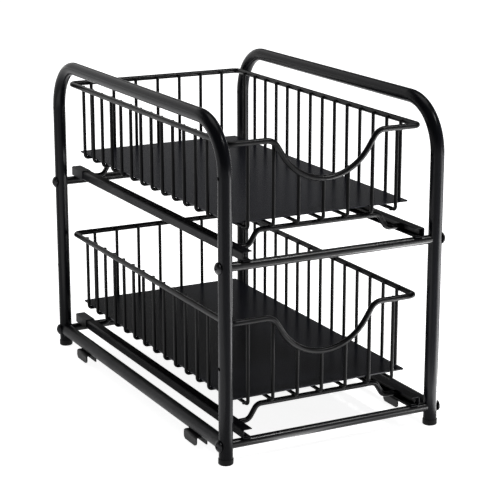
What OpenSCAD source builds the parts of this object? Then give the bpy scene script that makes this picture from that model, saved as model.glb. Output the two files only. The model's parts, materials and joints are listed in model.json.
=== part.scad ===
// Pull out cabinet basket: two wire baskets that slide forward in a tube frame.
// Lengths are in millimetres. +X is right, +Y is the rear and +Z is up.
// The origin is on the floor, in the middle between the four legs.

/* [Side frames] */
// Depth over the front and rear legs
frame_depth = 355.6; // [280:0.1:480]
// Width over the left and right legs
frame_width = 205; // [170:0.5:300]
// Height from the floor to the top of the bent tubes
frame_height = 280.5; // [275:0.5:360]
// Outside diameter of the frame tube
tube_d = 11.5; // [10:0.1:14]
// Wall of the frame tube
tube_wall = 0.9; // [0.6:0.1:1.4]
// Centreline radius of the two top bends
bend_r = 42; // [20:1:45]
// Height of the bottom rails' centreline
bottom_rail_z = 15.6; // [14:0.1:20]
// Diameter of the small holes through the legs
leg_hole_d = 3.2; // [2:0.1:5]
// Height of the lower pair of leg holes
low_hole_z = 80.3; // [40:0.1:140]
// From the top of the frame down to the upper pair of leg holes
high_hole_drop = 47.8; // [47.8:0.1:90]

/* [Foot caps] */
// Diameter of the cap under the leg
foot_d = 12.4; // [12:0.1:20]
// Height of the cap under the leg
foot_h = 4.7; // [3:0.1:6]
// Length of the plug that goes up into the tube
foot_plug = 8; // [4:0.5:8]
// Chamfer at the floor
foot_chamfer = 0.7; // [0.2:0.1:1.5]

/* [Crossbars and screws] */
// Diameter of the crossbars
bar_d = 7.5; // [6.5:0.1:9]
// Height of the lower crossbars' centreline
lower_bar_z = 15.85; // [15:0.05:24]
// From the top of the frame down to the upper crossbars' centreline
upper_bar_drop = 118.4; // [105.5:0.1:125]
// Diameter of the screw thread
screw_d = 4; // [3:0.5:5]
// Clearance of the screw in the leg, on the diameter
screw_clear = 0.3; // [0.1:0.1:0.6]
// Clearance of the notches in the bottom rails around the crossbars, on the diameter
notch_clear = 0.3; // [0.1:0.1:0.6]
// Length of screw that enters the crossbar
screw_grip = 12; // [6:1:30]
// Diameter of the domed head
head_d = 9.8; // [8:0.1:12]
// Height of the domed head
head_h = 3.2; // [2.5:0.1:4]
// Height of the head's rim below the dome
head_rim = 0.9; // [0.4:0.1:1.2]
// Width of the arms of the cross recess
recess_w = 1.1; // [0.6:0.1:1.5]
// Length of the arms of the cross recess
recess_span = 4.6; // [3:0.1:6]
// Depth of the cross recess
recess_depth = 1.6; // [0.8:0.1:1.8]

/* [Rail clips] */
// Sheet thickness of the clips
clip_t = 1.2; // [0.8:0.1:1.5]
// Inner bend radius of the clips
clip_bend = 0.6; // [0.3:0.1:1]
// Length of the wide tab along the rail
wide_tab_l = 23; // [15:0.5:30]
// Gap from the floor to the wide tab
wide_tab_z = 2; // [1:0.1:5]
// From the rail's centreline to the outside of the wide tab
wide_tab_out = 7.5; // [6:0.1:10]
// Corner radius of the wide tab
wide_tab_r = 3.4; // [1:0.1:3.5]
// Length of the small tab along the rail
small_tab_l = 19; // [10:0.5:25]
// Gap from the floor to the small tab
small_tab_z = 4.4; // [3:0.1:6]
// From the middle of the wide tab forward to the middle of the small tab
small_tab_shift = 7; // [2:0.1:10]
// Depth of the saddle that the rail is welded into
clip_saddle = 0.25; // [0.1:0.05:0.5]
// From the front legs to the middle of the front clips
front_clip_y = 50.8; // [40:0.1:90]
// From the rear legs to the middle of the rear clips
rear_clip_y = 58.7; // [40:0.1:90]

/* [Slide channels] */
// Height of the channel
channel_h = 8.2; // [8:0.1:9.5]
// Depth of the channel, from the web to the lips
channel_w = 8.3; // [7:0.1:11]
// Sheet thickness of the channel
channel_wall = 0.8; // [0.6:0.05:0.9]
// Outer bend radius of the channel
channel_r = 1.6; // [1.2:0.1:2]
// From the inner side of the legs to the channel's web
channel_inset = 7.4; // [3:0.1:10]
// Length that the channel runs past the crossbars' centreline
channel_over = 3.95; // [2:0.05:5]
// Drop of the stop lug that is pressed from the top flange
lug_drop = 0.7; // [0.6:0.05:0.75]
// Length of the stop lug
lug_l = 3; // [2:0.5:6]
// Distance that each basket pulls out
travel = 240; // [120:1:270]

/* [Rear stop caps] */
// Wall of the cap over the channel
cap_wall = 0.6; // [0.5:0.05:1.5]
// Length of the cap along the channel
cap_l = 26; // [15:1:60]
// Thickness of the end wall that stops the glide
cap_end = 1.2; // [1:0.1:3]
// Gap from the cap's skirt to the crossbar below
cap_skirt_gap = 0.4; // [0.3:0.1:1]

/* [Runners, glides and pads] */
// Thickness of the runner bar
runner_t = 2; // [1.5:0.1:2.4]
// Height of the runner bar
runner_h = 4.6; // [4.4:0.1:4.7]
// Side clearance from the runner to the channel's web
runner_gap = 0.35; // [0.3:0.05:0.6]
// From the channel's front end to the runner
runner_front = 4; // [1:0.5:10]
// From the channel's rear end to the runner
runner_rear = 2; // [1:0.5:4]
// Running clearance of the slides, above and below
slide_gap = 0.3; // [0.2:0.05:0.4]
// Length of the rear glide
glide_l = 15.7; // [8:0.1:25]
// Width of the glide inboard of the runner
glide_w = 3.8; // [2:0.1:4]
// Length of the front guide pads
pad_l = 12; // [6:1:20]
// Width of the front guide pads
pad_w = 5.6; // [4:0.1:6]
// From the channel's front end to the pads
pad_front = 2; // [1:0.5:6]

/* [Baskets] */
// Diameter of the rim wire
rim_d = 4.8; // [4:0.1:6]
// Side clearance from the legs to the rim
rim_gap = 1.1; // [0.5:0.1:3]
// From the front of the legs back to the rim
rim_front = 16.2; // [8:0.1:30]
// From the rear of the legs forward to the rim
rim_rear = 9.8; // [8:0.1:30]
// Centreline radius of the rim's corners
rim_r = 6; // [4:0.5:12]
// Height of the upper rim above the long wires' bottom
upper_wall_h = 69.4; // [50:0.1:75]
// Height of the lower rim above the long wires' bottom
lower_wall_h = 71.5; // [50:0.1:85]
// Radius of the bottom of the scoop in the front rim
scoop_r = 46.5; // [40:0.5:55]
// Radius of the scoop's shoulders
shoulder_r = 11.5; // [8:0.5:14]
// Length of the slant between a shoulder and the scoop's bottom
scoop_slant = 9.5; // [2:0.5:16]
// Diameter of the thin basket wires
wire_d = 3; // [2:0.1:3.2]
// Centreline radius of the bends at the foot of the wires
wire_r = 3; // [2.5:0.5:6]
// Height of the wire ends above the rim's centreline
wire_end = 1; // [0:0.1:2]
// Number of long wires, which run front to rear
long_count = 7; // [3:1:9]
// From the side wall to the outermost long wires
long_margin = 15.35; // [12:0.05:30]
// Number of cross wires, which run left to right
cross_count = 14; // [6:1:18]
// From the end walls to the first and last cross wires
cross_margin = 18.75; // [10:0.05:30]

/* [Supports and trays] */
// Diameter of the support wires
support_d = 4.5; // [3.5:0.1:4.6]
// From the front wall back to the front support
support_front = 7.05; // [6:0.05:20]
// From the rear wall forward to the rear support
support_rear = 13.95; // [6:0.05:20]
// From the runner inward to where the support steps down
step_reach = 28; // [26:0.5:40]
// Centreline radius of the step's bends
step_r = 7; // [5:0.5:8]
// Length of the slant between the step's bends
step_slant = 7; // [5:0.5:14]
// Thickness of the tray sheet
tray_t = 1; // [0.6:0.1:2]
// Gap from the basket walls to the tray
tray_gap = 0.3; // [0.2:0.1:4]
// Corner radius of the tray
tray_r = 1.5; // [1:0.5:15]

/* [Hidden] */
$fn = 48;
// Cutters reach this far past what they cut.
cut = 1;
tube_in = tube_d - 2 * tube_wall;
leg_x = frame_width / 2 - tube_d / 2;
leg_y = frame_depth / 2 - tube_d / 2;
leg_in_x = leg_x - tube_d / 2;
leg_out_x = leg_x + tube_d / 2;
top_bar_z = frame_height - tube_d / 2;
upper_bar_z = frame_height - upper_bar_drop;
high_hole_z = frame_height - high_hole_drop;

// Clips
rail_low_z = bottom_rail_z - tube_d / 2;
clip_top_z = rail_low_z + clip_saddle;

// Channels lie on top of the crossbars; the section is measured from the web.
channel_x = leg_in_x - channel_inset;
channel_end = leg_y + channel_over;
channel_low = bar_d / 2;
channel_mid = channel_low + channel_h / 2;
bore_h = channel_h - 2 * channel_wall;
pad_t = (bore_h - runner_h) / 2 - slide_gap;
glide_h = bore_h - 2 * slide_gap;
runner_out_x = channel_x - channel_wall - runner_gap;
runner_in_x = runner_out_x - runner_t;
glide_end = channel_end - slide_gap;
glide_front = glide_end - glide_l;
lug_end = glide_front - travel - slide_gap;

// Baskets
rim_x = leg_in_x - rim_gap - rim_d / 2;
rim_front_y = -frame_depth / 2 + rim_front + rim_d / 2;
rim_rear_y = frame_depth / 2 - rim_rear - rim_d / 2;
wall_step = (rim_d + wire_d) / 2;
wall_x = rim_x - wall_step;
wall_front = rim_front_y + wall_step;
wall_rear = rim_rear_y - wall_step;
long_span = 2 * (wall_x - long_margin);
cross_front = wall_front + cross_margin;
cross_span = wall_rear - cross_margin - cross_front;
support_front_y = wall_front + support_front;
support_rear_y = wall_rear - support_rear;
support_drop = (wire_d + support_d) / 2;

// Slope of the slanted stretches of wire. Its sine and cosine are short
// decimals, so a bend and a slant meet exactly.
slope = acos(0.5376);

// The slanted stretches reach this far into the bends at both of their ends.
lap = 0.01;

// Scoop: bottom arc, slant and shoulder follow each other on tangents.
scoop_depth = (scoop_r + shoulder_r) * (1 - cos(slope)) + scoop_slant * sin(slope);
scoop_rise = scoop_r - scoop_depth;
shoulder_x = (scoop_r + shoulder_r) * sin(slope) + scoop_slant * cos(slope);

// Step of the support wires, from the basket's floor down to the channels.
step_fall = 2 * step_r * (1 - cos(slope)) + step_slant * sin(slope);
step_run = 2 * step_r * sin(slope) + step_slant * cos(slope);
basket_lift = support_drop + step_fall;

// A tray wider than the straight part of the wires rides up on their bends.
bend_in = wire_r - wire_d / 2;
tray_over = max(0, bend_in - tray_gap);
tray_ride = bend_in - sqrt(bend_in * bend_in - tray_over * tray_over) + 0.02;
tray_z = 1.5 * wire_d + tray_ride;
tray_x = wall_x - wire_d / 2 - tray_gap;
tray_front = wall_front + wire_d / 2 + tray_gap;
tray_rear = wall_rear - wire_d / 2 - tray_gap;

// Height of the rim wire over its centreline, |x| from the middle of the front.
function scoop_z(x) =
    abs(x) >= shoulder_x ? 0
    : abs(x) >= shoulder_x - shoulder_r * sin(slope)
        ? sqrt(pow(shoulder_r, 2) - pow(shoulder_x - abs(x), 2)) - shoulder_r
    : abs(x) >= scoop_r * sin(slope)
        ? scoop_rise - scoop_r * cos(slope) + (abs(x) - scoop_r * sin(slope)) * tan(slope)
    : scoop_rise - sqrt(pow(scoop_r, 2) - x * x);

// ---------------------------------------------------------------- helpers

// Round rod along +X from the origin.
module rod_x(l, d) {
    rotate([0, 90, 0])
        cylinder(h = l, d = d);
}

// Round rod along +Y from the origin.
module rod_y(l, d) {
    rotate([-90, 0, 0])
        cylinder(h = l, d = d);
}

// Part of a round ring in the XY plane, from angle a0 to angle a1.
module bend(r, d, a0, a1) {
    rotate([0, 0, a0])
        rotate_extrude(angle = a1 - a0)
            translate([r, 0])
                circle(d = d);
}

// Part of a round ring in the XY plane, from a start that is a multiple of
// 90 degrees through a turn of less than 90, cut off on a plane.
module elbow(r, d, start, turn) {
    reach = 2 * (r + d);
    quarter = start + sign(turn) * 90;
    intersection() {
        bend(r, d, min(start, quarter), max(start, quarter));
        rotate([0, 0, start + turn])
            translate([0, turn > 0 ? -reach : 0, -d])
                cube([reach, reach, 2 * d]);
    }
}

// The same part on the left and on the right.
module both_sides() {
    children();
    mirror([1, 0, 0])
        children();
}

// Flat plate with round corners, from x0, y0 to x1, y1.
module round_plate(x0, y0, x1, y1, r) {
    translate([x0 + r, y0])
        square([x1 - x0 - 2 * r, y1 - y0]);
    translate([x0, y0 + r])
        square([x1 - x0, y1 - y0 - 2 * r]);
    for (x = [x0 + r, x1 - r]) {
        for (y = [y0 + r, y1 - r]) {
            translate([x, y])
                circle(r = r);
        }
    }
}

// U-shaped wire in the XY plane: up at x = 0 and at x = span, foot at y = 0.
module u_wire(span, up_a, up_b, r, d) {
    translate([0, r, 0])
        rod_y(up_a - r, d);
    translate([span, r, 0])
        rod_y(up_b - r, d);
    translate([r, 0, 0])
        rod_x(span - 2 * r, d);
    translate([r, r, 0])
        bend(r, d, 180, 270);
    translate([span - r, r, 0])
        bend(r, d, 270, 360);
}

// ------------------------------------------------------------------ frame

// Centre path of the inverted U, as a solid of diameter d, in the YZ plane.
module frame_path(d, z0) {
    straight = top_bar_z - bend_r;
    rotate([90, 0, 90]) {
        for (s = [-1, 1]) {
            translate([s * leg_y, z0, 0])
                rod_y(straight - z0, d);
        }
        translate([bend_r - leg_y, top_bar_z, 0])
            rod_x(2 * (leg_y - bend_r), d);
        translate([bend_r - leg_y, straight, 0])
            bend(bend_r, d, 90, 180);
        translate([leg_y - bend_r, straight, 0])
            bend(bend_r, d, 0, 90);
    }
}

module side_frame(x) {
    translate([x, 0, 0]) {
        difference() {
            frame_path(tube_d, foot_h);
            frame_path(tube_in, foot_h - cut);
            for (y = [-leg_y, leg_y]) {
                for (z = [lower_bar_z, upper_bar_z]) {
                    translate([-tube_d, y, z])
                        rod_x(2 * tube_d, screw_d + screw_clear);
                }
                for (z = [low_hole_z, high_hole_z]) {
                    translate([-tube_d, y, z])
                        rod_x(2 * tube_d, leg_hole_d);
                }
            }
        }
    }
}

module bottom_rail(x) {
    translate([x, 0, bottom_rail_z]) {
        difference() {
            translate([0, -leg_y, 0])
                rod_y(2 * leg_y, tube_d);
            translate([0, -leg_y, 0])
                rod_y(2 * leg_y, tube_in);
            for (y = [-leg_y, leg_y]) {
                translate([0, y, -tube_d])
                    cylinder(h = 2 * tube_d, d = tube_d);
                translate([-tube_d, y, lower_bar_z - bottom_rail_z])
                    rod_x(2 * tube_d, screw_d + screw_clear);
                translate([-x - leg_x, y, lower_bar_z - bottom_rail_z])
                    rod_x(2 * leg_x, bar_d + notch_clear);
            }
        }
    }
}

// Section of a clip: a plate under the rail with one edge bent down. The
// outside of the drop is at x = 0 and the top of the plate is at y = 0.
module clip_section(plate, drop) {
    r = clip_bend + clip_t;
    translate([r, -clip_t])
        square([plate - r, clip_t]);
    translate([0, -drop])
        square([clip_t, drop - r]);
    intersection() {
        translate([r, -r])
            difference() {
                circle(r = r);
                circle(r = clip_bend);
            }
        translate([0, -r])
            square([r, r]);
    }
}

// Clip under a bottom rail; y is the middle of its wide tab.
module rail_clip(x, y) {
    inner = wide_tab_out - clip_t / 2;
    small_y = y - small_tab_shift - small_tab_l / 2;
    difference() {
        union() {
            intersection() {
                translate([x - wide_tab_out, y + wide_tab_l / 2, clip_top_z])
                    rotate([90, 0, 0])
                        linear_extrude(height = wide_tab_l)
                            clip_section(wide_tab_out + clip_t / 2, clip_top_z - wide_tab_z);
                translate([x - 2 * wide_tab_out, 0, 0])
                    rotate([90, 0, 90])
                        linear_extrude(height = 4 * wide_tab_out)
                            round_plate(y - wide_tab_l / 2, wide_tab_z, y + wide_tab_l / 2,
                                clip_top_z + 2 * wide_tab_r, wide_tab_r);
            }
            translate([x + clip_t / 2, small_y, clip_top_z])
                rotate([90, 0, 180])
                    linear_extrude(height = small_tab_l)
                        clip_section(inner / 2, clip_top_z - small_tab_z);
        }
        translate([x, y - 2 * wide_tab_l, bottom_rail_z])
            rod_y(4 * wide_tab_l, tube_d);
    }
}

module foot_cap(x, y) {
    translate([x, y, 0]) {
        cylinder(h = foot_chamfer, d1 = foot_d - 2 * foot_chamfer, d2 = foot_d);
        translate([0, 0, foot_chamfer])
            cylinder(h = foot_h - foot_chamfer, d = foot_d);
        translate([0, 0, foot_h])
            cylinder(h = foot_plug, d = tube_in);
    }
}

module crossbar(y, z) {
    translate([0, y, z]) {
        difference() {
            translate([-leg_x, 0, 0])
                rod_x(2 * leg_x, bar_d);
            both_sides() {
                translate([leg_x, 0, -tube_d])
                    cylinder(h = 2 * tube_d, d = tube_d);
                translate([leg_in_x - screw_grip, 0, 0])
                    rod_x(screw_grip + tube_d, screw_d);
            }
        }
    }
}

// Screw along +Z: the underside of its head is at z = 0.
module crossbar_screw() {
    dome = head_h - head_rim;
    dome_r = (pow(head_d / 2, 2) + dome * dome) / (2 * dome);
    difference() {
        intersection() {
            cylinder(h = head_h, d = head_d);
            translate([0, 0, head_h - dome_r])
                sphere(r = dome_r);
        }
        for (a = [0, 90]) {
            rotate([0, 0, a])
                translate([-recess_span / 2, -recess_w / 2, head_h - recess_depth])
                    cube([recess_span, recess_w, recess_depth + cut]);
        }
    }
    translate([0, 0, -tube_d - screw_grip])
        cylinder(h = tube_d + screw_grip, d = screw_d);
}

// ----------------------------------------------------------------- slides

// C section, open towards -X, with its web's outer face at x = 0 and its
// bottom at y = 0.
module channel_section() {
    r_in = channel_r - channel_wall;
    difference() {
        union() {
            translate([-channel_w, 0])
                square([channel_w - channel_r, channel_h]);
            translate([-channel_r - cut, channel_r])
                square([channel_r + cut, channel_h - 2 * channel_r]);
            for (y = [channel_r, channel_h - channel_r]) {
                translate([-channel_r, y])
                    circle(r = channel_r);
            }
        }
        translate([-channel_w - cut, channel_wall])
            square([channel_w + cut - channel_r, bore_h]);
        translate([-channel_r - cut, channel_r])
            square([cut + r_in, channel_h - 2 * channel_r]);
        for (y = [channel_r, channel_h - channel_r]) {
            translate([-channel_r, y])
                circle(r = r_in);
        }
    }
}

module right_channel(bar_z) {
    translate([channel_x, channel_end, bar_z + channel_low])
        rotate([90, 0, 0])
            linear_extrude(height = 2 * channel_end)
                channel_section();
    translate([runner_in_x - glide_w, lug_end - lug_l,
        bar_z + channel_mid + bore_h / 2 - lug_drop])
        cube([glide_w + runner_t, lug_l, lug_drop + channel_wall / 2]);
}

module right_stop_cap(bar_z) {
    low = bar_z + channel_low;
    inner_x = channel_x - channel_w;
    y0 = channel_end + cap_end - cap_l;
    difference() {
        translate([inner_x, y0, low + cap_skirt_gap])
            cube([channel_w + cap_wall, cap_l, channel_h - cap_skirt_gap + cap_wall]);
        translate([inner_x - cut, y0 - cut, low])
            cube([channel_w + cut - channel_r, cap_l + cut - cap_end, channel_h]);
        translate([inner_x - cut, y0 - cut, low - cut])
            cube([channel_w + cut, cap_l + cut - cap_end, channel_h + cut - channel_r]);
        translate([channel_x - channel_r, y0 - cut, low + channel_h - channel_r])
            rod_y(cap_l + cut - cap_end, 2 * channel_r);
    }
}

module right_guide_pads(bar_z) {
    for (z = [-bore_h / 2, bore_h / 2 - pad_t]) {
        translate([channel_x - channel_r - pad_w, pad_front - channel_end,
            bar_z + channel_mid + z])
            cube([pad_w, pad_l, pad_t]);
    }
}

module right_runner_bar(bar_z) {
    translate([runner_in_x, runner_front - channel_end, bar_z + channel_mid - runner_h / 2])
        cube([runner_t, 2 * channel_end - runner_front - runner_rear, runner_h]);
}

module right_rear_glide(bar_z) {
    difference() {
        translate([runner_in_x - glide_w, glide_front, bar_z + channel_mid - glide_h / 2])
            cube([glide_w + runner_t, glide_l, glide_h]);
        right_runner_bar(bar_z);
    }
}

// ---------------------------------------------------------------- baskets

// Height of the long wires' foot for the tier whose crossbars are at bar_z.
function foot_z(bar_z) = bar_z + channel_mid + basket_lift;

module basket_rim(bar_z, wall_h) {
    corner_x = rim_x - rim_r;
    translate([0, 0, foot_z(bar_z) + wall_h]) {
        translate([-corner_x, rim_rear_y, 0])
            rod_x(2 * corner_x, rim_d);
        both_sides() {
            translate([corner_x, rim_rear_y - rim_r, 0])
                bend(rim_r, rim_d, 0, 90);
            translate([rim_x, rim_front_y + rim_r, 0])
                rod_y(rim_rear_y - rim_front_y - 2 * rim_r, rim_d);
            translate([corner_x, rim_front_y + rim_r, 0])
                bend(rim_r, rim_d, 270, 360);
            translate([shoulder_x, rim_front_y, 0])
                rod_x(corner_x - shoulder_x, rim_d);
            translate([shoulder_x, rim_front_y, -shoulder_r]) {
                rotate([90, 0, 0]) {
                    elbow(shoulder_r, rim_d, 90, slope);
                    rotate([0, 0, slope])
                        translate([-scoop_slant - lap, shoulder_r, 0])
                            rod_x(scoop_slant + 2 * lap, rim_d);
                }
            }
            translate([0, rim_front_y, scoop_rise])
                rotate([90, 0, 0])
                    elbow(scoop_r, rim_d, 270, slope);
        }
    }
}

module basket_long_wires(bar_z, wall_h) {
    for (i = [0 : long_count - 1]) {
        x = -long_span / 2 + i * long_span / (long_count - 1);
        translate([x, wall_front, foot_z(bar_z)])
            rotate([90, 0, 90])
                u_wire(wall_rear - wall_front, wall_h + scoop_z(x) + wire_end,
                    wall_h + wire_end, wire_r, wire_d);
    }
}

module basket_cross_wires(bar_z, wall_h) {
    for (i = [0 : cross_count - 1]) {
        y = cross_front + i * cross_span / (cross_count - 1);
        up = wall_h - wire_d + wire_end;
        translate([-wall_x, y, foot_z(bar_z) + wire_d])
            rotate([90, 0, 0])
                u_wire(2 * wall_x, up, up, wire_r, wire_d);
    }
}

module basket_tray(bar_z) {
    translate([0, 0, foot_z(bar_z) + tray_z])
        linear_extrude(height = tray_t)
            round_plate(-tray_x, tray_front, tray_x, tray_rear, tray_r);
}

// Support wire under the long wires, down to the runners on both sides.
module basket_support(bar_z, y) {
    x0 = runner_in_x - step_reach;
    x1 = x0 + step_run;
    translate([0, y, foot_z(bar_z) - support_drop]) {
        rotate([90, 0, 0]) {
            translate([-x0, 0, 0])
                rod_x(2 * x0, support_d);
            both_sides() {
                translate([x0, -step_r, 0]) {
                    elbow(step_r, support_d, 90, -slope);
                    rotate([0, 0, -slope])
                        translate([-lap, step_r, 0])
                            rod_x(step_slant + 2 * lap, support_d);
                }
                translate([x1, step_r - step_fall, 0])
                    elbow(step_r, support_d, 270, -slope);
                translate([x1, -step_fall, 0])
                    rod_x(runner_in_x - x1, support_d);
            }
        }
    }
}

// ------------------------------------------------------------- sub-parts

module left_side_frame() {
    color("#26272b")
        side_frame(-leg_x);
}

module right_side_frame() {
    color("#26272b")
        side_frame(leg_x);
}

module left_bottom_rail() {
    color("#303136")
        bottom_rail(-leg_x);
}

module right_bottom_rail() {
    color("#303136")
        bottom_rail(leg_x);
}

module left_front_clip() {
    color("#3a3b40")
        rail_clip(-leg_x, front_clip_y - leg_y);
}

module left_rear_clip() {
    color("#3a3b40")
        rail_clip(-leg_x, leg_y - rear_clip_y);
}

module right_front_clip() {
    color("#3a3b40")
        rail_clip(leg_x, front_clip_y - leg_y);
}

module right_rear_clip() {
    color("#3a3b40")
        rail_clip(leg_x, leg_y - rear_clip_y);
}

module lower_front_crossbar() {
    color("#2b2c30")
        crossbar(-leg_y, lower_bar_z);
}

module lower_rear_crossbar() {
    color("#2b2c30")
        crossbar(leg_y, lower_bar_z);
}

module upper_front_crossbar() {
    color("#2b2c30")
        crossbar(-leg_y, upper_bar_z);
}

module upper_rear_crossbar() {
    color("#2b2c30")
        crossbar(leg_y, upper_bar_z);
}

module crossbar_screws() {
    color("#1c1c1e")
        both_sides() {
            for (y = [-leg_y, leg_y]) {
                for (z = [lower_bar_z, upper_bar_z]) {
                    translate([leg_out_x, y, z])
                        rotate([0, 90, 0])
                            crossbar_screw();
                }
            }
        }
}

module front_left_foot_cap() {
    color("#151516")
        foot_cap(-leg_x, -leg_y);
}

module front_right_foot_cap() {
    color("#151516")
        foot_cap(leg_x, -leg_y);
}

module rear_left_foot_cap() {
    color("#151516")
        foot_cap(-leg_x, leg_y);
}

module rear_right_foot_cap() {
    color("#151516")
        foot_cap(leg_x, leg_y);
}

module lower_right_channel() {
    color("#1f1f22")
        right_channel(lower_bar_z);
}

module lower_left_channel() {
    color("#1f1f22")
        mirror([1, 0, 0])
            right_channel(lower_bar_z);
}

module upper_right_channel() {
    color("#1f1f22")
        right_channel(upper_bar_z);
}

module upper_left_channel() {
    color("#1f1f22")
        mirror([1, 0, 0])
            right_channel(upper_bar_z);
}

module lower_right_stop_cap() {
    color("#4a4b50")
        right_stop_cap(lower_bar_z);
}

module lower_left_stop_cap() {
    color("#4a4b50")
        mirror([1, 0, 0])
            right_stop_cap(lower_bar_z);
}

module upper_right_stop_cap() {
    color("#4a4b50")
        right_stop_cap(upper_bar_z);
}

module upper_left_stop_cap() {
    color("#4a4b50")
        mirror([1, 0, 0])
            right_stop_cap(upper_bar_z);
}

module lower_right_guide_pads() {
    color("#303134")
        right_guide_pads(lower_bar_z);
}

module lower_left_guide_pads() {
    color("#303134")
        mirror([1, 0, 0])
            right_guide_pads(lower_bar_z);
}

module upper_right_guide_pads() {
    color("#303134")
        right_guide_pads(upper_bar_z);
}

module upper_left_guide_pads() {
    color("#303134")
        mirror([1, 0, 0])
            right_guide_pads(upper_bar_z);
}

module lower_rim() {
    color("#2e2f33")
        basket_rim(lower_bar_z, lower_wall_h);
}

module lower_long_wires() {
    color("#242528")
        basket_long_wires(lower_bar_z, lower_wall_h);
}

module lower_cross_wires() {
    color("#242528")
        basket_cross_wires(lower_bar_z, lower_wall_h);
}

module lower_tray() {
    color("#34353a")
        basket_tray(lower_bar_z);
}

module lower_front_support() {
    color("#2a2b2f")
        basket_support(lower_bar_z, support_front_y);
}

module lower_rear_support() {
    color("#2a2b2f")
        basket_support(lower_bar_z, support_rear_y);
}

module lower_right_runner() {
    color("#26272a")
        right_runner_bar(lower_bar_z);
}

module lower_left_runner() {
    color("#26272a")
        mirror([1, 0, 0])
            right_runner_bar(lower_bar_z);
}

module lower_right_glide() {
    color("#303134")
        right_rear_glide(lower_bar_z);
}

module lower_left_glide() {
    color("#303134")
        mirror([1, 0, 0])
            right_rear_glide(lower_bar_z);
}

module upper_rim() {
    color("#2e2f33")
        basket_rim(upper_bar_z, upper_wall_h);
}

module upper_long_wires() {
    color("#242528")
        basket_long_wires(upper_bar_z, upper_wall_h);
}

module upper_cross_wires() {
    color("#242528")
        basket_cross_wires(upper_bar_z, upper_wall_h);
}

module upper_tray() {
    color("#34353a")
        basket_tray(upper_bar_z);
}

module upper_front_support() {
    color("#2a2b2f")
        basket_support(upper_bar_z, support_front_y);
}

module upper_rear_support() {
    color("#2a2b2f")
        basket_support(upper_bar_z, support_rear_y);
}

module upper_right_runner() {
    color("#26272a")
        right_runner_bar(upper_bar_z);
}

module upper_left_runner() {
    color("#26272a")
        mirror([1, 0, 0])
            right_runner_bar(upper_bar_z);
}

module upper_right_glide() {
    color("#303134")
        right_rear_glide(upper_bar_z);
}

module upper_left_glide() {
    color("#303134")
        mirror([1, 0, 0])
            right_rear_glide(upper_bar_z);
}

left_side_frame();
right_side_frame();
left_bottom_rail();
right_bottom_rail();
left_front_clip();
left_rear_clip();
right_front_clip();
right_rear_clip();
lower_front_crossbar();
lower_rear_crossbar();
upper_front_crossbar();
upper_rear_crossbar();
crossbar_screws();
front_left_foot_cap();
front_right_foot_cap();
rear_left_foot_cap();
rear_right_foot_cap();
lower_right_channel();
lower_left_channel();
upper_right_channel();
upper_left_channel();
lower_right_stop_cap();
lower_left_stop_cap();
upper_right_stop_cap();
upper_left_stop_cap();
lower_right_guide_pads();
lower_left_guide_pads();
upper_right_guide_pads();
upper_left_guide_pads();
lower_rim();
lower_long_wires();
lower_cross_wires();
lower_tray();
lower_front_support();
lower_rear_support();
lower_right_runner();
lower_left_runner();
lower_right_glide();
lower_left_glide();
upper_rim();
upper_long_wires();
upper_cross_wires();
upper_tray();
upper_front_support();
upper_rear_support();
upper_right_runner();
upper_left_runner();
upper_right_glide();
upper_left_glide();
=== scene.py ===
"""Looks of a two-tier pull-out wire basket rack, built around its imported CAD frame.

Lengths in the classes are in millimetres, as on a maker's drawing, and become metres where a mesh is
made. +X is right, +Y is the rear and +Z is up, with the origin on the floor between the four legs.
"""

import json
import logging
import math
from dataclasses import dataclass, field
from enum import Enum
from functools import cache

import bmesh
import bpy
import numpy as np
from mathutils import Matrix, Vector

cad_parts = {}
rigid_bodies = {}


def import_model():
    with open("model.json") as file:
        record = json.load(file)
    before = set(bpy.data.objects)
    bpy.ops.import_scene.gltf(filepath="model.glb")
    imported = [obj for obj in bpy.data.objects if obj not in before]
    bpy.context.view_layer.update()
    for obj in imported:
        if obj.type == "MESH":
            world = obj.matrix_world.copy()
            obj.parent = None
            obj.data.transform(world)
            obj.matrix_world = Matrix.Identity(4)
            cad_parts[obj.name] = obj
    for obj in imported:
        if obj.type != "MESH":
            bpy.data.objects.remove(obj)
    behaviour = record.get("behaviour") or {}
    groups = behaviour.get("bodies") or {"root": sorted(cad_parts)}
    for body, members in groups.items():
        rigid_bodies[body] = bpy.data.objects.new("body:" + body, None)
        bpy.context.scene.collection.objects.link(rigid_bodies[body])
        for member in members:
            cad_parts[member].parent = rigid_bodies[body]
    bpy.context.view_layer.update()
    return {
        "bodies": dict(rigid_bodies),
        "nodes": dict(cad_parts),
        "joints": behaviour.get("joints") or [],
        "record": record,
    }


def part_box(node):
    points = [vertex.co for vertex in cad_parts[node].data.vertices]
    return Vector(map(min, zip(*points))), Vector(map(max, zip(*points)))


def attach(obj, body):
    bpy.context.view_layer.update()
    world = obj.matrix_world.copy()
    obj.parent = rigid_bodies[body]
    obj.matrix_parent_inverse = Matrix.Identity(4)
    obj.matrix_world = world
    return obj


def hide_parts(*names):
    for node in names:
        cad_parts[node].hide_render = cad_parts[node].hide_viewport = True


LOG = logging.getLogger("basket_rack")
MM = 0.001
# Corners of a CAD mesh that lie closer together than this are one corner.
MERGE_REACH = 0.002 * MM
# Height of the long wires' centres and of the rim's centre in each basket, in millimetres.
TIERS = {"lower": (39.826, 111.326), "upper": (186.076, 255.476)}

Frame = dict[str, object]
Point = tuple[float, float, float]
Faces = list[list[int]]


# ---------------------------------------------------------------- helpers


def linear(code: str) -> tuple[float, float, float, float]:
    """Turns an sRGB hex colour into Blender's linear colour.

    Args:
        code: The colour as "#rrggbb".

    Returns:
        Red, green, blue and an alpha of 1, all linear.
    """
    channels = [int(code[i : i + 2], 16) / 255 for i in (1, 3, 5)]
    curve = [c / 12.92 if c <= 0.04045 else ((c + 0.055) / 1.055) ** 2.4 for c in channels]
    return (*curve, 1.0)


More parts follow.
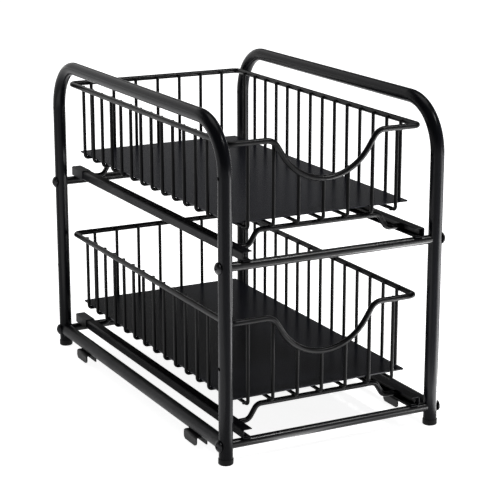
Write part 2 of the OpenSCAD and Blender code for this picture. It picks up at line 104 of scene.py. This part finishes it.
def add_node(tree: bpy.types.NodeTree, kind: str, settings: dict | None = None,
             inputs: dict | None = None) -> bpy.types.Node:
    """Adds a node with its settings, its input values and the links that lead into it.

    Args:
        tree: The node tree.
        kind: The node's type name.
        settings: Properties of the node.
        inputs: Input socket to a plain value, or to the output socket that is linked to it.

    Returns:
        The new node.
    """
    node = tree.nodes.new(kind)
    for name, value in (settings or {}).items():
        setattr(node, name, value)
    for name, value in (inputs or {}).items():
        if isinstance(value, bpy.types.NodeSocket):
            tree.links.new(value, node.inputs[name])
        else:
            node.inputs[name].default_value = value
    return node


def surface(name: str, points: np.ndarray, faces: Faces) -> bpy.types.Object:
    """Makes a smooth mesh object at the origin from points in millimetres.

    Args:
        name: Name of the piece.
        points: Array of shape (n, 3).
        faces: The corners of each face, counterclockwise from outside.

    Returns:
        The new object, linked to the scene.
    """
    mesh = bpy.data.meshes.new(name)
    mesh.from_pydata((points * MM).tolist(), [], faces)
    mesh.polygons.foreach_set("use_smooth", np.ones(len(mesh.polygons), bool))
    mesh.update()
    piece = bpy.data.objects.new(name, mesh)
    bpy.context.scene.collection.objects.link(piece)
    return piece


def tube_faces(rings: int, sides: int) -> Faces:
    """Lists the faces of a closed tube whose rings follow each other in one array of points.

    Args:
        rings: Number of rings along the tube.
        sides: Points on each ring, which run counterclockwise as seen from the tube's end.

    Returns:
        Four-cornered faces between the rings, and one cap at either end.
    """
    i, j = np.meshgrid(np.arange(rings - 1), np.arange(sides), indexing="ij")
    here, there = i * sides + j, i * sides + (j + 1) % sides
    quads = np.stack([here, there, there + sides, here + sides], -1).reshape(-1, 4).tolist()
    last = (rings - 1) * sides
    return quads + [list(range(sides))[::-1], list(range(last, last + sides))]


def nugget_cloud(name: str, centres: np.ndarray, axes: np.ndarray, radius: float,
                 height: float) -> bpy.types.Object:
    """Makes many small weld nuggets as one piece.

    Each nugget is a flattened ball: a ring of longitude u and latitude v gives the point
    radius * cos(v) * (cos(u), sin(u)) across the nugget's axis and height * sin(v) along it. A
    small flat cap closes each pole.

    Args:
        name: Name of the piece.
        centres: Array (n, 3) of the contact points.
        axes: Array (n, 3) of the unit directions that the nuggets are flattened along.
        radius: Reach of a nugget across its axis.
        height: Reach of a nugget along its axis.

    Returns:
        The piece.
    """
    turns, rings, last_latitude = 8, 5, 80
    u = np.arange(turns) * 2 * np.pi / turns
    v = np.radians(np.linspace(-last_latitude, last_latitude, rings))
    across = radius * np.cos(v)[:, None, None] * np.stack([np.cos(u), np.sin(u)], -1)[None]
    along = np.broadcast_to((height * np.sin(v))[:, None, None], (rings, turns, 1))
    shape = np.concatenate([across, along], -1).reshape(-1, 3)
    helper = np.where(np.abs(axes[:, :1]) < 0.9, [[1.0, 0.0, 0.0]], [[0.0, 1.0, 0.0]])
    first = np.cross(axes, helper)
    first /= np.linalg.norm(first, axis=1, keepdims=True)
    second = np.cross(axes, first)
    basis = np.stack([first, second, axes], 1)
    points = centres[:, None] + np.einsum("kc,ncd->nkd", shape, basis)
    return joined(name, [(ball, tube_faces(rings, turns)) for ball in points])


def bead(path: np.ndarray, radius: np.ndarray, sides: int = 10) -> tuple[np.ndarray, Faces]:
    """Carries a circle along a path, as the run of a weld bead.

    The circle at step t has the centre path[t] and lies across the path there: its points are
    path[t] + radius[t] * (cos(u) * n + sin(u) * b), with n and b square to the path's direction.

    Args:
        path: Array (n, 3) of centre points in millimetres.
        radius: Array (n,) of radii.
        sides: Points on each circle.

    Returns:
        Points (n * sides, 3) and faces.
    """
    ahead = np.gradient(path, axis=0)
    ahead /= np.linalg.norm(ahead, axis=1, keepdims=True)
    upright = abs(ahead[:, 2]).max() > 0.95
    helper = np.array([1.0, 0.0, 0.0] if upright else [0.0, 0.0, 1.0])
    n = np.cross(ahead, helper)
    n /= np.linalg.norm(n, axis=1, keepdims=True)
    b = np.cross(ahead, n)
    u = np.arange(sides) * 2 * np.pi / sides
    ring = np.cos(u)[None, :, None] * n[:, None] + np.sin(u)[None, :, None] * b[:, None]
    points = path[:, None] + radius[:, None, None] * ring
    return points.reshape(-1, 3), tube_faces(len(path), sides)


def joined(name: str, parts: list[tuple[np.ndarray, Faces]]) -> bpy.types.Object:
    """Makes one piece from several point-and-face pairs.

    Args:
        name: Name of the piece.
        parts: Points and faces of each part.

    Returns:
        The piece.
    """
    faces: Faces = []
    start = 0
    for points, own in parts:
        faces += [[corner + start for corner in face] for face in own]
        start += len(points)
    return surface(name, np.concatenate([points for points, _ in parts]), faces)


# --------------------------------------------------------------- finishes


class Grain(Enum):
    """How coarse a coat or a moulding is, as the size of one grain in millimetres."""

    SMOOTH = 1.6
    SATIN = 0.9
    TEXTURED = 0.55


@dataclass(frozen=True)
class Finish:
    """A surface with a colour, a gloss and a fine grain.

    The colour lies between pale and deep. The gloss drifts by spread about roughness over patches
    of the size drift, and relief is the height of the grain. Both sizes are in millimetres.
    """

    name: str
    pale: str
    deep: str
    roughness: float
    metallic: float = 0.0
    specular: float = 0.5
    grain: Grain = Grain.SATIN
    relief: float = 0.02
    spread: float = 0.06
    drift: float = 35.0

    @cache
    def material(self) -> bpy.types.Material:
        """Builds the material, once for each finish.

        Two noises on Object coordinates: a broad one that lets the gloss drift, and a fine one that
        mottles the colour and gives the grain its relief.

        Returns:
            The material.
        """
        made = bpy.data.materials.new(self.name)
        made.use_nodes = True
        tree = made.node_tree
        tree.nodes.clear()
        place = add_node(tree, "ShaderNodeTexCoord").outputs["Object"]
        drift = add_node(tree, "ShaderNodeTexNoise", None,
                         {"Vector": place, "Scale": 1 / (self.drift * MM), "Detail": 3.0,
                          "Roughness": 0.6})
        grain = add_node(tree, "ShaderNodeTexNoise", None,
                         {"Vector": place, "Scale": 1 / (self.grain.value * MM), "Detail": 2.0,
                          "Roughness": 0.55})
        colour = add_node(tree, "ShaderNodeMix", {"data_type": "RGBA"},
                          {"Factor": grain.outputs["Fac"]})
        colour.inputs[6].default_value = linear(self.deep)
        colour.inputs[7].default_value = linear(self.pale)
        gloss = add_node(tree, "ShaderNodeMapRange", None, {
            "Value": drift.outputs["Fac"], "From Min": 0.3, "From Max": 0.7,
            "To Min": self.roughness - self.spread, "To Max": self.roughness + self.spread})
        relief = add_node(tree, "ShaderNodeBump", None, {
            "Height": grain.outputs["Fac"], "Strength": 1.0, "Distance": self.relief * MM})
        shader = add_node(tree, "ShaderNodeBsdfPrincipled", None, {
            "Base Color": colour.outputs[2], "Roughness": gloss.outputs["Result"],
            "Metallic": self.metallic, "Specular IOR Level": self.specular,
            "Normal": relief.outputs["Normal"]})
        add_node(tree, "ShaderNodeOutputMaterial", None, {"Surface": shader.outputs["BSDF"]})
        return made


# Fine-textured polyester powder coat on steel tube: a soft, broad sheen broken up by a sandy grain.
TUBE_COAT = Finish("textured_tube_coat", "#121317", "#08080a", 0.24, specular=0.07,
                   grain=Grain.TEXTURED, relief=0.015, spread=0.03)
# The same coat on the bottom rails, which are blasted with the frame.
RAIL_COAT = Finish("textured_rail_coat", "#131418", "#09090b", 0.46, specular=0.15,
                   grain=Grain.TEXTURED, relief=0.03)
# Smoother coat on drawn wire and thin bar: narrower, brighter lines of light.
BAR_COAT = Finish("satin_bar_coat", "#121213", "#09090a", 0.30, specular=0.24,
                  grain=Grain.SMOOTH, relief=0.01)
RIM_COAT = Finish("satin_rim_coat", "#111112", "#080809", 0.32, specular=0.12,
                  grain=Grain.SMOOTH, relief=0.01)
WIRE_COAT = Finish("satin_wire_coat", "#0c0c0d", "#050506", 0.36, specular=0.06,
                   grain=Grain.SMOOTH, relief=0.01)
SUPPORT_COAT = Finish("satin_support_coat", "#121213", "#080809", 0.36, specular=0.12,
                      grain=Grain.SMOOTH, relief=0.01)
# Satin coat on cold-rolled sheet: one grey plane in which the wires are mirrored as soft dark bands.
TRAY_COAT = Finish("satin_sheet_coat", "#1b1c23", "#131419", 0.25, specular=0.095,
                   grain=Grain.SATIN, relief=0.0015, spread=0.02)
# Roll-formed, coated channel: dark and rather smooth.
CHANNEL_COAT = Finish("smooth_channel_coat", "#0e0e11", "#060608", 0.42, specular=0.05,
                      grain=Grain.SATIN, relief=0.01)
# Bent and coated sheet of the rail clips.
CLIP_COAT = Finish("textured_clip_coat", "#1a1a1c", "#0e0e0f", 0.50, specular=0.2,
                   grain=Grain.TEXTURED, relief=0.02)
# Black oxide on steel screws: a dark metal with a dull gloss.
BLACK_OXIDE = Finish("black_oxide_steel", "#1d1d1f", "#121213", 0.38, metallic=0.8,
                     grain=Grain.SATIN, relief=0.01)
# Moulded low-density polyethylene caps with a spark-eroded grain.
FOOT_PLASTIC = Finish("moulded_black_polyethylene", "#131314", "#0a0a0b", 0.48, specular=0.12,
                      grain=Grain.SATIN, relief=0.015)
# Glass-filled nylon, moulded: dull grey with a slight mottle.
CAP_NYLON = Finish("dark_filled_nylon", "#2c2c2e", "#1e1e20", 0.55, specular=0.2, grain=Grain.SATIN,
                   relief=0.02)
# Black nylon pads and glides, moulded: soft shine.
PAD_NYLON = Finish("black_nylon", "#161617", "#0e0e0f", 0.45, specular=0.25, relief=0.01)
GLIDE_NYLON = Finish("waxed_black_nylon", "#161617", "#0e0e0f", 0.38, specular=0.25, relief=0.01)
# Black zinc plate on the runner bar: a dark metal with a dull gloss.
BLACK_ZINC = Finish("black_zinc_steel", "#1b1b1c", "#111112", 0.42, specular=0.2,
                    grain=Grain.SMOOTH, relief=0.006)


def dress(frame: Frame, node: str, finish: Finish, edge: float = 0.0) -> None:
    """Gives a CAD node its material and, where its edges are sharp, rounds them off.

    Args:
        frame: The loaded frame.
        node: Name of the CAD node.
        finish: Its finish.
        edge: Width in millimetres of the rounding on its sharp edges, or 0 for none.
    """
    piece = frame["nodes"][node]
    piece.data.materials.clear()
    piece.data.materials.append(finish.material())
    if edge:
        weld = piece.modifiers.new("merge", "WELD")
        weld.merge_threshold = MERGE_REACH
        rounding = piece.modifiers.new("edges", "BEVEL")
        rounding.width = edge * MM
        rounding.segments = 2
        rounding.limit_method = "ANGLE"
        rounding.angle_limit = math.radians(40)
        rounding.harden_normals = True
    LOG.info("%s: %s", node, finish.name)


# ----------------------------------------------------------- sub-assemblies


@dataclass
class StandingFrame:
    """The two side frames with their rails, clips, crossbars, screws and feet."""

    tube_d: float = 11.5
    leg_x: float = 96.75
    leg_y: float = 172.05
    rail_z: float = 15.6
    bead_r: float = 0.9
    bead_sink: float = 0.15
    bead_dips: int = 9
    arches: tuple[tuple[float, float], ...] = ((50, 130), (230, 310))

    def dress(self, frame: Frame) -> None:
        """Gives every fixed piece of the frame its finish."""
        for side in ("left", "right"):
            dress(frame, f"{side}_side_frame", TUBE_COAT)
            dress(frame, f"{side}_bottom_rail", RAIL_COAT)
            for end in ("front", "rear"):
                dress(frame, f"{side}_{end}_clip", CLIP_COAT, edge=0.25)
                dress(frame, f"{end}_{side}_foot_cap", FOOT_PLASTIC)
        for tier in ("lower", "upper"):
            for end in ("front", "rear"):
                dress(frame, f"{tier}_{end}_crossbar", BAR_COAT)
        dress(frame, "crossbar_screws", BLACK_OXIDE)

    def rail_beads(self) -> bpy.types.Object:
        """Makes the weld beads between the bottom rails and the legs.

        The seam of two equal tubes that cross is x = r cos(a), y = -r |sin(a)|, z = r sin(a) about
        the crossing point. A bead runs along its upper and its lower arch, given in degrees of a,
        clear of the crossbar and the screw at its sides. It swells a little with each dip of the
        torch and thins out to both ends.

        Returns:
            The piece, riding on the frame.
        """
        out = self.tube_d / 2 + self.bead_sink
        steps = np.linspace(0, 1, 41)
        swell = self.bead_r * (1 + 0.12 * np.cos(steps * 2 * np.pi * self.bead_dips))
        radius = swell * np.clip(np.minimum(steps, 1 - steps) * 14, 0.02, 1)
        parts = []
        for sx in (-1, 1):
            for sy in (-1, 1):
                for low, high in self.arches:
                    a = np.radians(low + (high - low) * steps)
                    path = np.stack([
                        sx * self.leg_x + out * np.cos(a),
                        sy * (self.leg_y - out * np.abs(np.sin(a))),
                        self.rail_z + out * np.sin(a)], 1)
                    parts.append(bead(path, radius))
        piece = joined("frame_weld_beads", parts)
        piece.data.materials.append(RAIL_COAT.material())
        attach(piece, "frame")
        LOG.info("%s: %s", piece.name, RAIL_COAT.name)
        return piece


@dataclass
class SlideSet:
    """The channels of one tier with their stop caps, pads, and the runners and glides in them."""

    tier: str
    cap_round: float = 1.3

    def dress(self, frame: Frame) -> None:
        """Gives the slide parts of the tier their finishes."""
        for side in ("left", "right"):
            dress(frame, f"{self.tier}_{side}_channel", CHANNEL_COAT, edge=0.15)
            self.moulded_cap(frame, side)
            dress(frame, f"{self.tier}_{side}_guide_pads", PAD_NYLON, edge=0.12)
            dress(frame, f"{self.tier}_{side}_runner", BLACK_ZINC, edge=0.15)
            dress(frame, f"{self.tier}_{side}_glide", GLIDE_NYLON, edge=0.2)

    def moulded_cap(self, frame: Frame, side: str) -> bpy.types.Object:
        """Makes a stop cap with the rounded outside of a moulding.

        It is a copy of the CAD cap, merged and freed of the edges inside its flat faces. An edge
        with both ends on two of the planes x = outer side, y = rear end and z = top is rounded.

        Args:
            frame: The loaded frame.
            side: Which channel the cap closes, left or right.

        Returns:
            The piece, riding on the frame.
        """
        node = f"{self.tier}_{side}_stop_cap"
        low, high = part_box(node)
        planes = np.array([low.x if side == "left" else high.x, high.y, high.z])
        shape = bmesh.new()
        shape.from_mesh(frame["nodes"][node].data)
        bmesh.ops.remove_doubles(shape, verts=shape.verts, dist=MERGE_REACH)
        bmesh.ops.dissolve_limit(shape, angle_limit=math.radians(1), verts=shape.verts,
                                 edges=shape.edges)
        near = 0.01 * MM
        outer = [edge for edge in shape.edges
                 if sum(all(abs(end.co[axis] - planes[axis]) < near for end in edge.verts)
                        for axis in range(3)) > 1]
        bmesh.ops.bevel(shape, geom=outer, offset=self.cap_round * MM, segments=5, profile=0.5,
                        affect="EDGES", clamp_overlap=True)
        for face in shape.faces:
            face.smooth = True
        sharp = math.radians(35)
        for edge in shape.edges:
            edge.smooth = edge.calc_face_angle(0.0) < sharp
        mesh = bpy.data.meshes.new(f"{node}_moulding")
        shape.to_mesh(mesh)
        shape.free()
        piece = bpy.data.objects.new(mesh.name, mesh)
        bpy.context.scene.collection.objects.link(piece)
        flats = piece.modifiers.new("flats", "WEIGHTED_NORMAL")
        flats.keep_sharp = True
        piece.data.materials.append(CAP_NYLON.material())
        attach(piece, "frame")
        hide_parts(node)
        LOG.info("%s: %s", piece.name, CAP_NYLON.name)
        return piece


@dataclass
class WireBasket:
    """One basket: rim, long and cross wires, tray, supports and the weld nuggets between them."""

    tier: str
    foot_z: float
    rim_z: float
    wire_d: float = 3.0
    rim_d: float = 4.8
    wall_x: float = 83.6
    long_reach: float = 68.25
    long_count: int = 7
    cross_front: float = -136.55
    cross_rear: float = 142.95
    cross_count: int = 14
    support_y: tuple[float, float] = (-148.25, 147.75)
    nugget_r: float = 1.6
    nugget_h: float = 0.75
    long_x: np.ndarray = field(init=False)
    cross_y: np.ndarray = field(init=False)

    def __post_init__(self) -> None:
        """Works out the places of the long and the cross wires."""
        self.long_x = np.linspace(-self.long_reach, self.long_reach, self.long_count)
        self.cross_y = np.linspace(self.cross_front, self.cross_rear, self.cross_count)

    def dress(self, frame: Frame) -> None:
        """Gives the basket's CAD nodes their finishes."""
        dress(frame, f"{self.tier}_rim", RIM_COAT)
        dress(frame, f"{self.tier}_long_wires", WIRE_COAT)
        dress(frame, f"{self.tier}_cross_wires", WIRE_COAT)
        dress(frame, f"{self.tier}_tray", TRAY_COAT, edge=0.3)
        for end in ("front", "rear"):
            dress(frame, f"{self.tier}_{end}_support", SUPPORT_COAT)

    def nuggets(self) -> bpy.types.Object:
        """Makes the spot-weld nuggets where the wires cross and where they meet the rim.

        Crossing wires touch at half a wire above the lower one's axis, a long wire touches a support
        half a wire below its own, and a wall wire touches the rim half a wire outward of its own.

        Returns:
            The piece, riding on the basket.
        """
        x, y = np.meshgrid(self.long_x, self.cross_y, indexing="ij")
        floor = np.stack([x.ravel(), y.ravel(), np.full(x.size, self.foot_z + self.wire_d / 2)], 1)
        x, y = np.meshgrid(self.long_x, self.support_y, indexing="ij")
        under = np.stack([x.ravel(), y.ravel(), np.full(x.size, self.foot_z - self.wire_d / 2)], 1)
        flat = np.concatenate([floor, under])
        up = np.tile([0.0, 0.0, 1.0], (len(flat), 1))
        sides = np.concatenate([
            np.stack([np.full(self.cross_count, s * (self.wall_x + self.wire_d / 2)), self.cross_y,
                      np.full(self.cross_count, self.rim_z)], 1) for s in (-1, 1)])
        out = np.tile([1.0, 0.0, 0.0], (len(sides), 1))
        centres = np.concatenate([flat, sides])
        axes = np.concatenate([up, out])
        piece = nugget_cloud(f"{self.tier}_basket_welds", centres, axes, self.nugget_r, self.nugget_h)
        piece.data.materials.append(WIRE_COAT.material())
        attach(piece, f"{self.tier}_basket")
        LOG.info("%s: %s", piece.name, WIRE_COAT.name)
        return piece


# ----------------------------------------------------------------- studio


@dataclass(frozen=True)
class Softbox:
    """A rectangular lamp, in metres; radiance is how bright its face is."""

    name: str
    place: Point
    size: tuple[float, float]
    radiance: float


@dataclass(frozen=True)
class LowCard:
    """A glowing card that lies on the floor face up, its length turned by degrees from +X."""

    name: str
    place: tuple[float, float]
    size: tuple[float, float]
    radiance: float
    turn: float = 0.0


SOFTBOXES = (
    Softbox("wide_left", (-1.9, 0.45, 0.3), (1.6, 0.5), 2.0),
    Softbox("overhead", (0.3, 0.3, 2.1), (1.2, 1.2), 2.8),
    Softbox("rear_left", (-0.5, 2.2, 1.0), (2.4, 1.6), 1.1),
    Softbox("rear_right", (1.5, 1.9, 0.8), (1.8, 1.4), 0.09),
    Softbox("strip_right", (1.2, -1.31, 0.07), (0.14, 0.13), 60),
    Softbox("strip_front", (0.75, -0.8, 1.5), (0.4, 0.09), 110),
)
# The upright tubes mirror card_near and card_far as a narrow line of light on their right side, the
# low front crossbar mirrors card_mid, and card_left gives the left legs a soft second line.
LOW_CARDS = (
    LowCard("card_near", (0.274, -0.266), (0.34, 0.16), 16.0, -28.0),
    LowCard("card_far", (0.715, -0.501), (0.66, 0.5), 16.0, -28.0),
    LowCard("card_mid", (0.018, -0.233), (0.17, 0.07), 5.0, -28.0),
    LowCard("card_left", (-0.62, -0.15), (0.9, 0.44), 3.0),
)


@dataclass
class Studio:
    """Floor, soft lights and camera. Angles are in degrees, lengths in metres, the lens in mm."""

    eye: Point = (-0.65551, -1.28181, 0.50893)
    pitch: float = 14.99
    yaw: float = 27.61
    lens: float = 120.39
    aim: Point = (0.0, 0.0, 0.14)
    card_height: float = 0.003
    floor_reach: float = 60.0
    shadow_reach: tuple[float, float] = (0.12, 0.28)
    near_lift: float = 0.9
    far_lift: float = 1.0
    backdrop: tuple[float, float] = (0.03, 0.13)
    ceiling: float = 0.06

    def softbox(self, plan: Softbox) -> bpy.types.Object:
        """Adds a rectangular area light that faces the rack.

        Its power is radiance * pi * area.

        Args:
            plan: The lamp.

        Returns:
            The lamp's object.
        """
        lamp = bpy.data.lights.new(plan.name, "AREA")
        lamp.shape = "RECTANGLE"
        lamp.size, lamp.size_y = plan.size
        lamp.energy = plan.radiance * math.pi * plan.size[0] * plan.size[1]
        box = bpy.data.objects.new(plan.name, lamp)
        box.location = plan.place
        box.visible_camera = False
        facing = Vector(self.aim) - Vector(plan.place)
        box.rotation_euler = facing.to_track_quat("-Z", "Y").to_euler()
        bpy.context.scene.collection.objects.link(box)
        return box

    def low_card(self, plan: LowCard) -> None:
        """Lays a glowing card on the floor, face up.

        Args:
            plan: The card.
        """
        place = (*plan.place, self.card_height)
        card = self.softbox(Softbox(plan.name, place, plan.size, plan.radiance))
        card.rotation_euler = (math.pi, 0, math.radians(plan.turn))

    def rays(self, tree: bpy.types.NodeTree) -> tuple[bpy.types.NodeSocket, bpy.types.NodeSocket]:
        """Adds the tests for what is seen straight, and for what is seen mirrored or through glass.

        Args:
            tree: The node tree.

        Returns:
            Two sockets, each 1 for such a ray and 0 for others: the straight one, then the other.
        """
        path = add_node(tree, "ShaderNodeLightPath").outputs
        mirrored = add_node(tree, "ShaderNodeMath", {"operation": "MAXIMUM"},
                            {0: path["Is Glossy Ray"], 1: path["Is Transmission Ray"]})
        return path["Is Camera Ray"], mirrored.outputs[0]

    def floor(self) -> None:
        """Lays a plain white floor whose tone is lifted to white for the eye and for reflections.

        The lift is a little less around the rack, so that its shadow stays on the floor.
        """
        corners = np.array([[-1, -1, 0], [1, -1, 0], [1, 1, 0], [-1, 1, 0]])
        piece = surface("floor", corners * self.floor_reach / MM, [[0, 1, 2, 3]])
        paper = bpy.data.materials.new("white_paper_floor")
        paper.use_nodes = True
        tree = paper.node_tree
        tree.nodes.clear()
        place = add_node(tree, "ShaderNodeTexCoord").outputs["Object"]
        far = add_node(tree, "ShaderNodeVectorMath", {"operation": "LENGTH"}, {0: place})
        level = add_node(tree, "ShaderNodeMapRange", {"interpolation_type": "SMOOTHSTEP"}, {
            "Value": far.outputs["Value"], "From Min": self.shadow_reach[0],
            "From Max": self.shadow_reach[1], "To Min": self.near_lift, "To Max": self.far_lift})
        straight, mirrored = self.rays(tree)
        seen = add_node(tree, "ShaderNodeMath", {"operation": "MAXIMUM"}, {0: straight, 1: mirrored})
        lifted = add_node(tree, "ShaderNodeMath", {"operation": "MULTIPLY"},
                          {0: seen.outputs[0], 1: level.outputs["Result"]})
        matt = add_node(tree, "ShaderNodeBsdfDiffuse", None, {"Color": linear("#f2f2f2")})
        lift = add_node(tree, "ShaderNodeEmission", None,
                        {"Color": (1, 1, 1, 1), "Strength": lifted.outputs[0]})
        both = add_node(tree, "ShaderNodeAddShader", None, {0: matt.outputs[0], 1: lift.outputs[0]})
        add_node(tree, "ShaderNodeOutputMaterial", None, {"Surface": both.outputs[0]})
        piece.data.materials.append(paper)

    def sky(self) -> None:
        """Sets the even grey of a dim studio behind a white backdrop.

        The eye sees plain white. Reflections see the backdrop too, up to where the dark ceiling
        begins: it is white up to the first height and gone at the second, as sines of the angle
        above the horizon.
        """
        world = bpy.data.worlds.new("studio")
        world.use_nodes = True
        tree = world.node_tree
        tree.nodes.clear()
        height = add_node(tree, "ShaderNodeSeparateXYZ", None,
                          {"Vector": add_node(tree, "ShaderNodeTexCoord").outputs["Generated"]})
        fade = add_node(tree, "ShaderNodeMapRange", {"interpolation_type": "SMOOTHSTEP"}, {
            "Value": height.outputs["Z"], "From Min": self.backdrop[0],
            "From Max": self.backdrop[1], "To Min": 1.0, "To Max": 0.0})
        straight, mirrored = self.rays(tree)
        wall = add_node(tree, "ShaderNodeMath", {"operation": "MULTIPLY"},
                        {0: mirrored, 1: fade.outputs["Result"]})
        white = add_node(tree, "ShaderNodeMath", {"operation": "MAXIMUM"},
                         {0: straight, 1: wall.outputs[0]})
        level = add_node(tree, "ShaderNodeMath", {"operation": "MAXIMUM"},
                         {0: white.outputs[0], 1: self.ceiling})
        glow = add_node(tree, "ShaderNodeBackground", None,
                        {"Color": (1, 1, 1, 1), "Strength": level.outputs[0]})
        add_node(tree, "ShaderNodeOutputWorld", None, {"Surface": glow.outputs[0]})
        bpy.context.scene.world = world

    def camera(self) -> None:
        """Places the camera."""
        data = bpy.data.cameras.new("camera")
        data.lens = self.lens
        data.sensor_width = 36
        data.clip_start, data.clip_end = 0.01, self.floor_reach
        eye = bpy.data.objects.new("camera", data)
        eye.location = self.eye
        eye.rotation_euler = (math.radians(90 - self.pitch), 0, math.radians(-self.yaw))
        bpy.context.scene.collection.objects.link(eye)
        bpy.context.scene.camera = eye

    def build(self) -> None:
        """Sets up the whole studio."""
        self.camera()
        self.floor()
        self.sky()
        for lamp in SOFTBOXES:
            self.softbox(lamp)
        for card in LOW_CARDS:
            self.low_card(card)
        bpy.context.scene.view_settings.view_transform = "Standard"


def main() -> None:
    """Builds the rack's looks piece by piece."""
    logging.basicConfig(level=logging.INFO, format="%(message)s")
    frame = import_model()
    Studio().build()
    stand = StandingFrame()
    stand.dress(frame)
    stand.rail_beads()
    for tier, (foot_z, rim_z) in TIERS.items():
        SlideSet(tier).dress(frame)
        basket = WireBasket(tier, foot_z, rim_z)
        basket.dress(frame)
        basket.nuggets()


if __name__ == "__main__":
    main()
